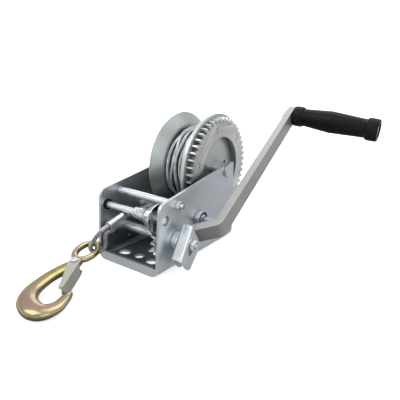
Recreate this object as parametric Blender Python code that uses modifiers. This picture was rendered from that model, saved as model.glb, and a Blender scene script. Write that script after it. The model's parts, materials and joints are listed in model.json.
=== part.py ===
"""Two-speed hand winch for a boat trailer, with wire rope and safety hook.

Axes: +X along the shafts towards the crank, -Y towards the boat (rope side), +Z up.
Origin: underside of the base, on the frame's centre line, at the front edge.
All sizes below are millimetres; MM turns them into Blender's metres.
"""

import math

import bmesh
import bpy
from mathutils import Matrix, Vector

MM = 0.001
GAP = 0.3  # running and seating clearance between neighbouring solids
TAU = 2 * math.pi

# ---------------------------------------------------------------- driving dimensions
FRAME_HALF = 40.5  # half the outer width over the side plates
SHEET = 3.0
BEND_RADIUS = 9.0  # outer radius of the frame's two long bends
PLATE_FRONT_TOP = 75.5  # height of the top edge where it meets the front corner
PLATE_TOP_SLOPE = 0.19  # rise of the top edge towards the drum
PLATE_REAR_TOP = 138.5
PLATE_REAR_BOTTOM = 150.5
LIP_HEIGHT = 9.5

MODULE = 2.5
RING_TEETH = 48
INTERMEDIATE_PINION_TEETH = 10
INTERMEDIATE_GEAR_TEETH = 21
DRIVE_PINION_TEETH = 12
RATCHET_TEETH = 20

DRUM = (124.6, 91.7)  # (y, z) of the drum axle
INTERMEDIATE = (67.78, 46.68)
DRIVE = (29.2, 32.1)
PAWL = (9.7, 58.5)
PAWL_ROD = 3.6
PAWL_SWING = 14  # degrees from neutral to engaged, either way
TIE = (27.1, 70.6)

RING_SPAN = (23.6, 30.8)
OUTER_GEAR_SPAN = (31.3, 36.9)  # second-stage gears, between ring gear and plate
RATCHET_SPAN = (25.5, 31.0)
RING_FIRST_TOOTH = 1.2825  # angle of one ring tooth from +Y towards +Z
INTERMEDIATE_GEAR_TOOTH = 0.31  # the same for the intermediate gear
RATCHET_TIP = 23.2
RATCHET_ROOT = 19.7
RIVETS = 6
RIVET_CIRCLE = 49.5  # radius the ring gear's rivets sit on
RIVET_START = math.radians(47.5)

SHAFT_RADIUS = 5.0
AXLE_RADIUS = 5.0
HUB_RADIUS = 8.0
BARREL_RADIUS = 20.0
LEFT_FLANGE_RADIUS = 63.0
RIGHT_FLANGE_RADIUS = 66.0
ROPE_RADIUS = 2.4
PACK_RADIUS = 48.8
PACK_SPAN = (-15.1, 18.9)

CRANK_ANGLE = math.radians(33.3)  # lean of the crank arm from +Y towards +Z
CRANK_RADIUS = 231.0
ARM_WIDTH = 19.5
ARM_THICKNESS = 8.4
ARM_HUB_X = 54.0  # middle of the arm's thickness at the hub
ARM_GRIP_X = 77.0  # the same beyond its outward step
GRIP_LENGTH = 108.0
GRIP_DROOP = math.radians(3.4)  # the grip leans down a little towards its end
CLIP_SHEET = 1.6

HOOK_EYE = Vector((-26.5, -30.6, 19.2))
HOOK_AXIS = Vector((0.318, -0.935, -0.176)).normalized()
ROPE_X = -13.0
LEAD_RADIUS = 46.8  # of the lead's centre line, where it leaves the drum


# ---------------------------------------------------------------- scene and materials
def clear_scene():
    for obj in list(bpy.data.objects):
        bpy.data.objects.remove(obj, do_unlink=True)


def make_collection(name):
    collection = bpy.data.collections.new(name)
    bpy.context.scene.collection.children.link(collection)
    return collection


def make_material(name, color, roughness, metallic):
    made = bpy.data.materials.new(name)
    made.use_nodes = True
    shader = made.node_tree.nodes["Principled BSDF"]
    shader.inputs["Base Color"].default_value = (*color, 1)
    shader.inputs["Roughness"].default_value = roughness
    shader.inputs["Metallic"].default_value = metallic
    return made


clear_scene()
WINCH = make_collection("boat_trailer_winch")
ZINC = make_material("zinc_plate", (0.56, 0.58, 0.60), 0.38, 1.0)
BRIGHT = make_material("bright_zinc", (0.74, 0.76, 0.78), 0.25, 1.0)
GEAR_STEEL = make_material("gear_steel", (0.50, 0.51, 0.49), 0.42, 1.0)
ARM_STEEL = make_material("arm_steel", (0.50, 0.49, 0.45), 0.40, 1.0)
YELLOW_ZINC = make_material("yellow_zinc", (0.70, 0.60, 0.36), 0.22, 1.0)
ROPE = make_material("wire_rope", (0.46, 0.46, 0.47), 0.45, 1.0)
BLACK = make_material("black_plastic", (0.02, 0.02, 0.02), 0.30, 0.0)


# ---------------------------------------------------------------- shape helpers
def finish(obj, material, smooth=30):
    """Bakes modifiers, welds, faces outwards, and files the object as one of the winch's parts."""
    graph = bpy.context.evaluated_depsgraph_get()
    graph.update()
    mesh = bpy.data.meshes.new_from_object(obj.evaluated_get(graph), depsgraph=graph)
    shape = bmesh.new()
    shape.from_mesh(mesh)
    bmesh.ops.remove_doubles(shape, verts=shape.verts, dist=2e-6)
    bmesh.ops.dissolve_degenerate(shape, edges=shape.edges, dist=1e-6)
    bmesh.ops.recalc_face_normals(shape, faces=shape.faces)
    shape.to_mesh(mesh)
    shape.free()
    mesh.shade_smooth()
    mesh.set_sharp_from_angle(angle=math.radians(smooth))
    mesh.materials.clear()
    mesh.materials.append(material)
    name = obj.name
    matrix = obj.matrix_world.copy()
    bpy.data.objects.remove(obj, do_unlink=True)
    made = bpy.data.objects.new(name, mesh)
    made.matrix_world = matrix
    WINCH.objects.link(made)
    bpy.context.view_layer.update()
    return made


def link(name, data):
    obj = bpy.data.objects.new(name, data)
    WINCH.objects.link(obj)
    return obj


# A prism's outline is drawn in (y, z) and extruded along X.
ACROSS = Matrix(((0, 0, 1), (1, 0, 0), (0, 1, 0))).to_4x4()
# The same for outlines drawn in (x, z) and extruded along Y, and in (x, y) along Z.
ALONG = Matrix(((1, 0, 0), (0, 0, -1), (0, 1, 0))).to_4x4()
UPRIGHT = Matrix.Identity(4)


def prism(name, loops, low, high, turn=ACROSS, bevel=0.0):
    """A flat outline, with any further loops as holes, extruded from low to high."""
    data = bpy.data.curves.new(name, "CURVE")
    data.dimensions = "2D"
    data.fill_mode = "BOTH"
    data.extrude = (high - low) / 2 * MM - bevel * MM
    data.bevel_depth = bevel * MM
    data.bevel_resolution = 0
    data.offset = -bevel * MM
    for loop in loops:
        spline = data.splines.new("POLY")
        spline.points.add(len(loop) - 1)
        for point, (a, b) in zip(spline.points, loop):
            point.co = (a * MM, b * MM, 0, 1)
        spline.use_cyclic_u = True
    obj = link(name, data)
    sign = -1 if turn is ALONG else 1
    obj.matrix_world = turn @ Matrix.Translation((0, 0, sign * (low + high) / 2 * MM))
    bpy.context.view_layer.update()
    return obj


def circle(center, radius, count=32, start=0.0):
    return [
        (center[0] + radius * math.cos(start + TAU * i / count),
         center[1] + radius * math.sin(start + TAU * i / count))
        for i in range(count)
    ]


def arc(center, radius, first, last, count=6):
    """Points on an arc, angles in degrees."""
    angles = [math.radians(first + (last - first) * i / count) for i in range(count + 1)]
    return [(center[0] + radius * math.cos(a), center[1] + radius * math.sin(a)) for a in angles]


def stadium(start, end, radius, count=8):
    """A slot outline between two centres."""
    lean = math.degrees(math.atan2(end[1] - start[1], end[0] - start[0]))
    return (arc(end, radius, lean - 90, lean + 90, count)
            + arc(start, radius, lean + 90, lean + 270, count))


def rounded(points, radii, count=5):
    """A polygon with each corner turned into an arc of its own radius."""
    made = []
    for i, corner in enumerate(points):
        radius = radii[i] if isinstance(radii, (list, tuple)) else radii
        here = Vector(corner)
        before = (Vector(points[i - 1]) - here).normalized()
        after = (Vector(points[(i + 1) % len(points)]) - here).normalized()
        if radius <= 0:
            made.append(tuple(here))
            continue
        half = before.angle(after) / 2
        center = here + (before + after).normalized() * radius / math.sin(half)
        first = here + before * radius / math.tan(half) - center
        last = here + after * radius / math.tan(half) - center
        turn = first.angle_signed(last)
        for step in range(count + 1):
            angle = -turn * step / count
            made.append((center.x + first.x * math.cos(angle) - first.y * math.sin(angle),
                         center.y + first.x * math.sin(angle) + first.y * math.cos(angle)))
    return made


def to_mesh(obj):
    """Turns a curve into a welded mesh object, so that a Boolean can use it."""
    graph = bpy.context.evaluated_depsgraph_get()
    graph.update()
    mesh = bpy.data.meshes.new_from_object(obj.evaluated_get(graph), depsgraph=graph)
    shape = bmesh.new()
    shape.from_mesh(mesh)
    bmesh.ops.remove_doubles(shape, verts=shape.verts, dist=2e-6)
    bmesh.ops.recalc_face_normals(shape, faces=shape.faces)
    shape.to_mesh(mesh)
    shape.free()
    made = link(obj.name + "_solid", mesh)
    made.matrix_world = obj.matrix_world.copy()
    name = obj.name
    bpy.data.objects.remove(obj, do_unlink=True)
    made.name = name
    bpy.context.view_layer.update()
    return made


def combine(obj, others, operation):
    """Cuts, joins or intersects with other solids, which are used up."""
    body = to_mesh(obj)
    for other in others:
        tool = to_mesh(other)
        step = body.modifiers.new(operation.lower(), "BOOLEAN")
        step.operation = operation
        step.solver = "EXACT"
        step.object = tool
        body_now = to_mesh(body)
        bpy.data.objects.remove(tool, do_unlink=True)
        body = body_now
    return body


def turned(name, profile, center, steps=48):
    """Revolves a closed (x, radius) profile about the X axis through center (y, z)."""
    mesh = bpy.data.meshes.new(name)
    shape = bmesh.new()
    verts = [shape.verts.new((x * MM, 0, radius * MM)) for x, radius in profile]
    touches_axis = profile[0][1] == 0 and profile[-1][1] == 0
    pairs = list(zip(verts, verts[1:]))
    if not touches_axis:
        pairs.append((verts[-1], verts[0]))
    for pair in pairs:
        shape.edges.new(pair)
    shape.to_mesh(mesh)
    shape.free()
    obj = link(name, mesh)
    spin = obj.modifiers.new("turn", "SCREW")
    spin.axis = "X"
    spin.steps = spin.render_steps = steps
    spin.use_merge_vertices = True
    spin.merge_threshold = 1e-6
    obj.location = (0, center[0] * MM, center[1] * MM)
    bpy.context.view_layer.update()
    return obj


def ring(name, low, high, inner, outer, center, steps=32):
    return turned(name, [(low, inner), (low, outer), (high, outer), (high, inner)], center, steps)


def bar(name, low, high, radius, center, steps=32):
    return turned(name, [(low, 0), (low, radius), (high, radius), (high, 0)], center, steps)


def hexagon(center, across_flats, start=0.0):
    return circle(center, across_flats / math.sqrt(3), 6, start)


def tube(name, points, radius, resolution=2, radii=None):
    """A round wire along a list of points in millimetres, with closed ends."""
    data = bpy.data.curves.new(name, "CURVE")
    data.dimensions = "3D"
    data.bevel_depth = radius * MM
    data.bevel_resolution = resolution
    data.use_fill_caps = True
    spline = data.splines.new("POLY")
    spline.points.add(len(points) - 1)
    for i, (point, place) in enumerate(zip(spline.points, points)):
        point.co = (*(Vector(place) * MM), 1)
        point.radius = radii[i] if radii else 1.0
    obj = link(name, data)
    bpy.context.view_layer.update()
    return obj


def smooth_path(points, per_span=6):
    """A Catmull-Rom curve through the given points."""
    nodes = [Vector(p) for p in points]
    nodes = [2 * nodes[0] - nodes[1]] + nodes + [2 * nodes[-1] - nodes[-2]]
    made = []
    for i in range(1, len(nodes) - 2):
        a, b, c, d = nodes[i - 1:i + 3]
        for step in range(per_span):
            t = step / per_span
            made.append(0.5 * (2 * b + (c - a) * t + (2 * a - 5 * b + 4 * c - d) * t**2
                               + (3 * b - a - 3 * c + d) * t**3))
    made.append(nodes[-2])
    return made


# ---------------------------------------------------------------- gears
PRESSURE_ANGLE = math.radians(20)
BACKLASH = 0.28  # taken off each tooth's thickness at the pitch circle


def involute(angle):
    return math.tan(angle) - angle


def gear_outline(teeth, center, first_tooth, addendum=1.0, dedendum=1.25, undercut=0.0):
    """A spur gear's outline, eight points a tooth; first_tooth is one tooth's angle."""
    pitch = MODULE * teeth / 2
    base = pitch * math.cos(PRESSURE_ANGLE)
    root = pitch - dedendum * MODULE
    tip = pitch + addendum * MODULE
    levels = [root, max(base, root + 0.2 * MODULE), pitch, tip]
    points = []
    for tooth in range(teeth):
        middle = first_tooth + TAU * tooth / teeth
        halves = []
        for radius in levels:
            lean = involute(math.acos(min(1.0, base / radius)))
            half = math.pi / (2 * teeth) - BACKLASH / (2 * pitch)
            half += involute(PRESSURE_ANGLE) - lean
            if radius < base:
                half -= undercut * (base - radius) / radius
            halves.append(half)
        rising = [(r, middle - h) for r, h in zip(levels, halves)]
        falling = [(r, middle + h) for r, h in zip(levels, halves)]
        for radius, angle in rising + falling[::-1]:
            points.append((center[0] + radius * math.cos(angle),
                           center[1] + radius * math.sin(angle)))
    return points


def meshing_tooth(center, teeth, mate_center, mate_teeth, mate_tooth):
    """The angle of a tooth that puts a gap where the mating gear has its tooth."""
    toward = math.atan2(center[1] - mate_center[1], center[0] - mate_center[0])
    phase = mate_teeth * (toward - mate_tooth)
    return toward + math.pi - (math.pi - phase) / teeth


# ---------------------------------------------------------------- frame
def top_edge(y):
    return PLATE_FRONT_TOP + PLATE_TOP_SLOPE * y


def make_frame():
    inner = FRAME_HALF - SHEET
    reach = 120
    section = (
        [(-FRAME_HALF, reach)] + arc((-FRAME_HALF + BEND_RADIUS, BEND_RADIUS), BEND_RADIUS, 180, 270)
        + arc((FRAME_HALF - BEND_RADIUS, BEND_RADIUS), BEND_RADIUS, 270, 360) + [(FRAME_HALF, reach)]
        + [(inner, reach)] + arc((FRAME_HALF - BEND_RADIUS, BEND_RADIUS), BEND_RADIUS - SHEET, 360, 270)
        + arc((-FRAME_HALF + BEND_RADIUS, BEND_RADIUS), BEND_RADIUS - SHEET, 270, 180) + [(-inner, reach)]
    )
    channel = prism("frame", [section], -12, 170, ALONG)
    lip = (
        [(-FRAME_HALF + 1, LIP_HEIGHT)]
        + arc((-FRAME_HALF + BEND_RADIUS, BEND_RADIUS), BEND_RADIUS - 1, 180, 270)
        + arc((FRAME_HALF - BEND_RADIUS, BEND_RADIUS), BEND_RADIUS - 1, 270, 360) + [(FRAME_HALF - 1, LIP_HEIGHT)]
    )
    lip = prism("lip", [lip], -10, SHEET, ALONG)
    side = rounded(
        [(0, -8), (0, top_edge(0)), (PLATE_REAR_TOP, top_edge(PLATE_REAR_TOP)),
         (PLATE_REAR_BOTTOM, 3.5), (PLATE_REAR_BOTTOM - 3, -8)],
        [0, 9, 4, 4, 0],
    )
    outline = prism("side", [side], -60, 60)
    frame = combine(channel, [lip], "UNION")
    frame = combine(frame, [outline], "INTERSECT")
    holes = [
        prism("slot", [stadium((x - 1.2, 22.5), (x + 1.2, 22.5), 6.0)], -4, 6, UPRIGHT)
        for x in (-24.2, 14.0)
    ]
    holes += [
        prism("bolt_hole", [circle((-5.2, 24.4), 5.5, 24)], -4, 6, UPRIGHT),
        prism("rear_hole", [circle((-4.6, 44.0), 4.9, 24)], -4, 6, UPRIGHT),
        prism("rear_slot_left", [stadium((-24, 118), (-24, 128), 4.5)], -4, 6, UPRIGHT),
        prism("rear_slot_right", [stadium((14, 118), (14, 128), 4.5)], -4, 6, UPRIGHT),
    ]
    for center, radius in ((DRIVE, 8.8), (INTERMEDIATE, 8.3), (TIE, 3.0), (DRUM, 5.3)):
        holes.append(prism("plate_hole", [circle(center, radius)], -50, 50))
    holes += [
        prism("pawl_hole_left", [circle(PAWL, 6.3)], -50, 0),
        prism("pawl_hole_right", [circle(PAWL, 5.2)], 0, 50),
        prism("small_hole_left", [circle((42.9, 13.3), 1.6, 16)], -50, 0),
    ]
    return finish(combine(frame, holes, "DIFFERENCE"), ZINC)


def make_tie():
    inner = FRAME_HALF - SHEET
    finish(ring("tie_tube", -inner + GAP, inner - GAP, 3.0, 4.2, TIE), BRIGHT)
    head = prism("tie_bolt", [hexagon(TIE, 8)], -FRAME_HALF - GAP - 3.5, -FRAME_HALF - GAP)
    shank = bar("shank", -FRAME_HALF - 2, FRAME_HALF + 7.8, 2.6, TIE, 24)
    finish(combine(head, [shank], "UNION"), BRIGHT)
    finish(prism("tie_nut", [hexagon(TIE, 8, 0.3), circle(TIE, 2.9, 24)],
                 FRAME_HALF + GAP, FRAME_HALF + GAP + 4.5), BRIGHT)


# ---------------------------------------------------------------- shaft bearings
def make_bush(name, center, side, spigot, collar, length, recess):
    """A flanged bush in one side plate, with a recess round the shaft on its outer face."""
    bore = SHAFT_RADIUS + GAP
    inside = FRAME_HALF - SHEET + GAP
    face = FRAME_HALF + GAP
    end = face + length
    profile = [
        (inside, bore), (inside, spigot), (face, spigot), (face, collar), (end - 0.6, collar),
        (end, collar - 0.6), (end, recess), (end - 0.55 * length, recess), (end - 0.55 * length, bore),
    ]
    finish(turned(name, [(side * x, r) for x, r in profile], center, 40), BRIGHT)


def make_bushes():
    make_bush("drive_bush_right", DRIVE, 1, 8.4, 11.2, 6.7, 9.9)
    make_bush("drive_bush_left", DRIVE, -1, 8.4, 10.5, 3.0, 6.5)
    make_bush("intermediate_bush_right", INTERMEDIATE, 1, 7.9, 9.1, 5.8, 7.6)
    make_bush("intermediate_bush_left", INTERMEDIATE, -1, 7.9, 9.8, 3.0, 6.5)


# ---------------------------------------------------------------- drum
def make_drum():
    rim_x = -26.8
    web_x = -15.4
    flange = [
        (web_x - 1.8, HUB_RADIUS + GAP), (web_x - 1.8, 48.6), (rim_x - 1.0, LEFT_FLANGE_RADIUS - 0.8),
        (rim_x - 0.2, LEFT_FLANGE_RADIUS), (rim_x + 0.9, LEFT_FLANGE_RADIUS - 0.2),
        (web_x, 50.0), (web_x, HUB_RADIUS + GAP),
    ]
    finish(turned("drum_flange_left", flange, DRUM, 72), ZINC)
    right = prism("drum_flange_right", [circle(DRUM, RIGHT_FLANGE_RADIUS, 96), circle(DRUM, HUB_RADIUS + GAP)],
                  19.2, RING_SPAN[0] - GAP)
    anchor = prism("anchor_hole", [circle((DRUM[0] + 21.5, DRUM[1] + 5.2), 2.4, 16)], 10, 30)
    finish(combine(right, [anchor], "DIFFERENCE"), GEAR_STEEL)
    finish(ring("drum_barrel", web_x + GAP, 19.2 - GAP, BARREL_RADIUS - 3, BARREL_RADIUS, DRUM, 40), ZINC)
    inner = FRAME_HALF - SHEET
    finish(ring("drum_hub_sleeve", -inner + GAP, inner - GAP, AXLE_RADIUS + GAP, HUB_RADIUS, DRUM), ZINC)
    # The last turn leaves as the rope's lead, so the coil is one rope lower beside the left flange.
    step = ROPE_X + ROPE_RADIUS + GAP
    pack = [
        (PACK_SPAN[0], BARREL_RADIUS + GAP), (PACK_SPAN[0], LEAD_RADIUS - ROPE_RADIUS - GAP),
        (step, LEAD_RADIUS - ROPE_RADIUS - GAP), (step, PACK_RADIUS - 1), (step + 1, PACK_RADIUS),
        (PACK_SPAN[1] - 2, PACK_RADIUS), (PACK_SPAN[1], PACK_RADIUS - 2), (PACK_SPAN[1], BARREL_RADIUS + GAP),
    ]
    finish(turned("rope_pack", pack, DRUM, 64), ROPE)


def make_ring_gear():
    outline = gear_outline(RING_TEETH, DRUM, RING_FIRST_TOOTH, 0.95)
    loops = [outline, circle(DRUM, 39.2, 64)]
    places = []
    for i in range(RIVETS):
        angle = RIVET_START + TAU * i / RIVETS
        places.append((DRUM[0] + RIVET_CIRCLE * math.cos(angle), DRUM[1] + RIVET_CIRCLE * math.sin(angle)))
    loops += [circle(place, 2.8, 14) for place in places]
    finish(prism("ring_gear", loops, *RING_SPAN), GEAR_STEEL)
    for i, place in enumerate(places):
        low, high = RING_SPAN
        rivet = [
            (low + GAP, 0), (low + GAP, 2.5), (high - 0.9, 2.5), (high - 0.3, 2.3), (high - 0.1, 0),
        ]
        finish(turned(f"ring_rivet_{i + 1}", rivet, place, 14), BRIGHT)


def make_axle():
    outside = FRAME_HALF + GAP
    head = prism("drum_axle", [circle(DRUM, 8.0, 32)], outside, outside + 2.6)
    shank = bar("shank", -FRAME_HALF - 7.5, FRAME_HALF + 1.5, AXLE_RADIUS, DRUM)
    finish(combine(head, [shank], "UNION"), ZINC)
    finish(prism("drum_axle_nut", [hexagon(DRUM, 16, 0.2), circle(DRUM, AXLE_RADIUS + GAP)],
                 -outside - 6.5, -outside), BRIGHT)


# ---------------------------------------------------------------- gear train
def make_intermediate():
    tooth = meshing_tooth(INTERMEDIATE, INTERMEDIATE_PINION_TEETH, DRUM, RING_TEETH, RING_FIRST_TOOTH)
    pinion = prism("intermediate_pinion",
                   [gear_outline(INTERMEDIATE_PINION_TEETH, INTERMEDIATE, tooth, 0.95, 1.25, 0.22),
                    circle(INTERMEDIATE, SHAFT_RADIUS + GAP)], RING_SPAN[0] + 0.2, RING_SPAN[1] - 0.2)
    finish(pinion, GEAR_STEEL)
    loops = [gear_outline(INTERMEDIATE_GEAR_TEETH, INTERMEDIATE, INTERMEDIATE_GEAR_TOOTH, 0.95),
             circle(INTERMEDIATE, SHAFT_RADIUS + GAP)]
    finish(prism("intermediate_gear", loops, *OUTER_GEAR_SPAN), GEAR_STEEL)
    shaft = [(-45.5, 0), (-45.5, SHAFT_RADIUS), (46.6, SHAFT_RADIUS), (46.9, 3.0), (60.5, 3.0), (61.0, 2.5), (61.0, 0)]
    finish(turned("intermediate_shaft", shaft, INTERMEDIATE, 32), BRIGHT)
    clip = FRAME_HALF + 4.2
    finish(prism("intermediate_circlip",
                 [[*arc(INTERMEDIATE, 7.0, 75, 375, 20), *arc(INTERMEDIATE, SHAFT_RADIUS + GAP, 375, 75, 20)]],
                 clip, clip + 1.2), BLACK)


def make_drive():
    tooth = meshing_tooth(DRIVE, DRIVE_PINION_TEETH, INTERMEDIATE, INTERMEDIATE_GEAR_TEETH,
                          INTERMEDIATE_GEAR_TOOTH)
    finish(prism("drive_pinion",
                 [gear_outline(DRIVE_PINION_TEETH, DRIVE, tooth, 0.95, 1.25, 0.15),
                  circle(DRIVE, SHAFT_RADIUS + GAP)], *OUTER_GEAR_SPAN), GEAR_STEEL)
    toward_pawl = math.atan2(PAWL[1] - DRIVE[1], PAWL[0] - DRIVE[0])
    points = []
    for i in range(RATCHET_TEETH):
        middle = toward_pawl + TAU * i / RATCHET_TEETH
        for radius, half in ((RATCHET_ROOT, -4.6), (RATCHET_TIP, -2.2), (RATCHET_TIP, 2.2), (RATCHET_ROOT, 4.6)):
            angle = middle + math.radians(half)
            points.append((DRIVE[0] + radius * math.cos(angle), DRIVE[1] + radius * math.sin(angle)))
    finish(prism("ratchet_wheel", [points, circle(DRIVE, SHAFT_RADIUS + GAP)], *RATCHET_SPAN), GEAR_STEEL)
    shaft = bar("drive_shaft", -45.5, 49.5, SHAFT_RADIUS, DRIVE)
    tang = prism("tang", [rounded([(DRIVE[0] - 4, DRIVE[1] - 4), (DRIVE[0] + 4, DRIVE[1] - 4),
                                   (DRIVE[0] + 4, DRIVE[1] + 4), (DRIVE[0] - 4, DRIVE[1] + 4)], 0.8, 2)],
                 49.4, 57.8)
    stud = bar("stud", 57, 66.0, 3.0, DRIVE, 24)
    finish(combine(shaft, [tang, stud], "UNION"), BRIGHT)


# ---------------------------------------------------------------- crank
ARM_DIRECTION = Vector((0, math.cos(CRANK_ANGLE), math.sin(CRANK_ANGLE)))
ARM_ACROSS = Vector((0, -math.sin(CRANK_ANGLE), math.cos(CRANK_ANGLE)))
DRIVE_POINT = Vector((0, *DRIVE))
GRIP_POINT = DRIVE_POINT + ARM_DIRECTION * CRANK_RADIUS
ARM_STEP_START = 13.7
ARM_STEP_END = 29.5
# Takes (along the arm, out along X, across the arm) to world axes.
ARM_FRAME = Matrix.Translation(DRIVE_POINT * MM) @ Matrix((
    (0, 1, 0), (ARM_DIRECTION.y, 0, ARM_ACROSS.y), (ARM_DIRECTION.z, 0, ARM_ACROSS.z))).to_4x4()


def make_arm():
    half = ARM_THICKNESS / 2
    start = -ARM_WIDTH
    end = CRANK_RADIUS + ARM_WIDTH
    steep = (ARM_GRIP_X - ARM_HUB_X) / (ARM_STEP_END - ARM_STEP_START)
    shift = half * (math.hypot(1, steep) - 1) / steep
    lower = [(start, ARM_HUB_X - half), (ARM_STEP_START + shift, ARM_HUB_X - half),
             (ARM_STEP_END + shift, ARM_GRIP_X - half), (end, ARM_GRIP_X - half)]
    upper = [(start, ARM_HUB_X + half), (ARM_STEP_START - shift, ARM_HUB_X + half),
             (ARM_STEP_END - shift, ARM_GRIP_X + half), (end, ARM_GRIP_X + half)]
    outline = rounded(lower + upper[::-1], [0, 10, 3, 0, 0, 10, 3, 0], 4)
    bent = prism("crank_arm", [outline], -ARM_WIDTH, ARM_WIDTH, UPRIGHT)
    bent.matrix_world = ARM_FRAME
    plan = stadium((0, 0), (CRANK_RADIUS + 3.5, 0), ARM_WIDTH / 2, 10)
    blank = prism("blank", [[(a, b) for a, b in plan]], 40, 100)
    lay = Matrix.Translation(DRIVE_POINT * MM) @ Matrix((
        (0, 0, 1), (ARM_DIRECTION.y, ARM_ACROSS.y, 0), (ARM_DIRECTION.z, ARM_ACROSS.z, 0))).to_4x4()
    blank.matrix_world = lay @ Matrix.Translation((0, 0, 70 * MM))
    arm = combine(bent, [blank], "INTERSECT")
    square = prism("square", [rounded([(DRIVE[0] - 4.3, DRIVE[1] - 4.3), (DRIVE[0] + 4.3, DRIVE[1] - 4.3),
                                       (DRIVE[0] + 4.3, DRIVE[1] + 4.3), (DRIVE[0] - 4.3, DRIVE[1] + 4.3)],
                                      0.8, 2)], 45, 63)
    bolt_hole = prism("bolt_hole", [circle((GRIP_POINT.y, GRIP_POINT.z), 4.8, 24)], 70, 95)
    finish(combine(arm, [square, bolt_hole], "DIFFERENCE"), ARM_STEEL)


CLIP_TOP = Vector((0, 26.9, 53.0))  # front top corner of the clip's web
CLIP_DOWN = Vector((0, -0.469, -0.883)).normalized()
CLIP_BACK = Vector((0, 0.883, -0.469)).normalized()


def make_clip():
    """A folded U that grips the arm's lower end between two legs."""
    low = ARM_HUB_X - ARM_THICKNESS / 2 - GAP - CLIP_SHEET
    high = ARM_HUB_X + ARM_THICKNESS / 2 + GAP + CLIP_SHEET
    bend = CLIP_SHEET + 1.0
    depth = 40
    section = (
        [(low, depth)] + arc((low + bend, bend), bend, 180, 270, 4) + arc((high - bend, bend), bend, 270, 360, 4)
        + [(high, depth), (high - CLIP_SHEET, depth)]
        + arc((high - bend, bend), bend - CLIP_SHEET, 360, 270, 4)
        + arc((low + bend, bend), bend - CLIP_SHEET, 270, 180, 4) + [(low + CLIP_SHEET, depth)]
    )
    fold = prism("crank_clip", [section], -10, 60, UPRIGHT)
    fold.matrix_world = Matrix.Translation(CLIP_TOP * MM) @ Matrix((
        (1, 0, 0), (0, CLIP_BACK.y, CLIP_DOWN.y), (0, CLIP_BACK.z, CLIP_DOWN.z))).to_4x4() @ Matrix.Translation(
            (0, 0, 25 * MM))

    def place(along, back):
        point = CLIP_TOP + CLIP_DOWN * along + CLIP_BACK * back
        return point.y, point.z

    leg = rounded([place(0, -3), place(-0.5, 0.5), place(11.6, 22.8), place(22.5, 26.3), place(43.4, 21.9),
                   place(41.3, 13.4), place(36.2, 0), place(36.0, -3)], [0, 0, 2.5, 5, 4, 3, 0, 0], 4)
    clip = combine(fold, [prism("leg", [leg], 40, 80)], "INTERSECT")
    at = DRIVE_POINT - CLIP_TOP
    along, back = at.dot(CLIP_DOWN), at.dot(CLIP_BACK)
    middle = (low + high) / 2
    cuts = [
        prism("shaft_hole", [circle(DRIVE, SHAFT_RADIUS + GAP)], 40, middle),
        prism("stud_slot", [stadium(place(along - 0.5, back), place(along + 7, back), 4.3)], middle, 80),
    ]
    finish(combine(clip, cuts, "DIFFERENCE"), BRIGHT)
    nut_low = high + GAP
    finish(prism("crank_nut", [hexagon(DRIVE, 10.5, 0.4), circle(DRIVE, 3.0 + GAP, 24)], nut_low, nut_low + 4.4),
           BRIGHT)


GRIP_OFFSET = 1.1  # from the arm's outer face to the grip's inner one
GRIP_START = ARM_GRIP_X + ARM_THICKNESS / 2 + GRIP_OFFSET
GRIP_TURN = Matrix.Rotation(GRIP_DROOP, 4, "Y")
GRIP_FRAME = Matrix.Translation(Vector((GRIP_START, GRIP_POINT.y, GRIP_POINT.z)) * MM) @ GRIP_TURN


def make_grip():
    """The grip and its bolt are turned about their own leaning axis, x = 0 at the grip's inner face."""
    bore = 4.0 + GAP
    profile = [
        (0, bore), (0, 12.2), (1.0, 13.0), (10.2, 13.2), (11.6, 12.8), (12.6, 11.2), (14.0, 11.2),
        (48.6, 13.9), (50.0, 13.9), (91.0, 11.6), (93.0, 12.2), (94.2, 13.6), (95.6, 14.0), (106.6, 13.8),
        (GRIP_LENGTH, 12.6), (GRIP_LENGTH, 8.4), (GRIP_LENGTH - 5, 8.2), (GRIP_LENGTH - 5, bore),
    ]
    grip = turned("grip", profile, (0, 0), 40)
    grip.matrix_world = GRIP_FRAME
    finish(grip, BLACK)
    seat = GRIP_LENGTH - 5 + GAP
    nut_end = -ARM_THICKNESS - GRIP_OFFSET - 0.8
    bolt = [
        (nut_end - 6, 0), (nut_end - 6, 3.9), (seat, 3.9), (seat, 7.4), (seat + 2.6, 7.2), (seat + 3.3, 6.2),
        (seat + 3.6, 0),
    ]
    bolt = turned("grip_bolt", bolt, (0, 0), 32)
    bolt.matrix_world = GRIP_FRAME
    finish(bolt, BRIGHT)
    nut = prism("grip_nut", [hexagon((0, 0), 13, 0.3), circle((0, 0), 3.9 + GAP, 24)], nut_end - 5.3, nut_end)
    nut.matrix_world = GRIP_FRAME @ nut.matrix_world
    finish(nut, BRIGHT)


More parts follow.
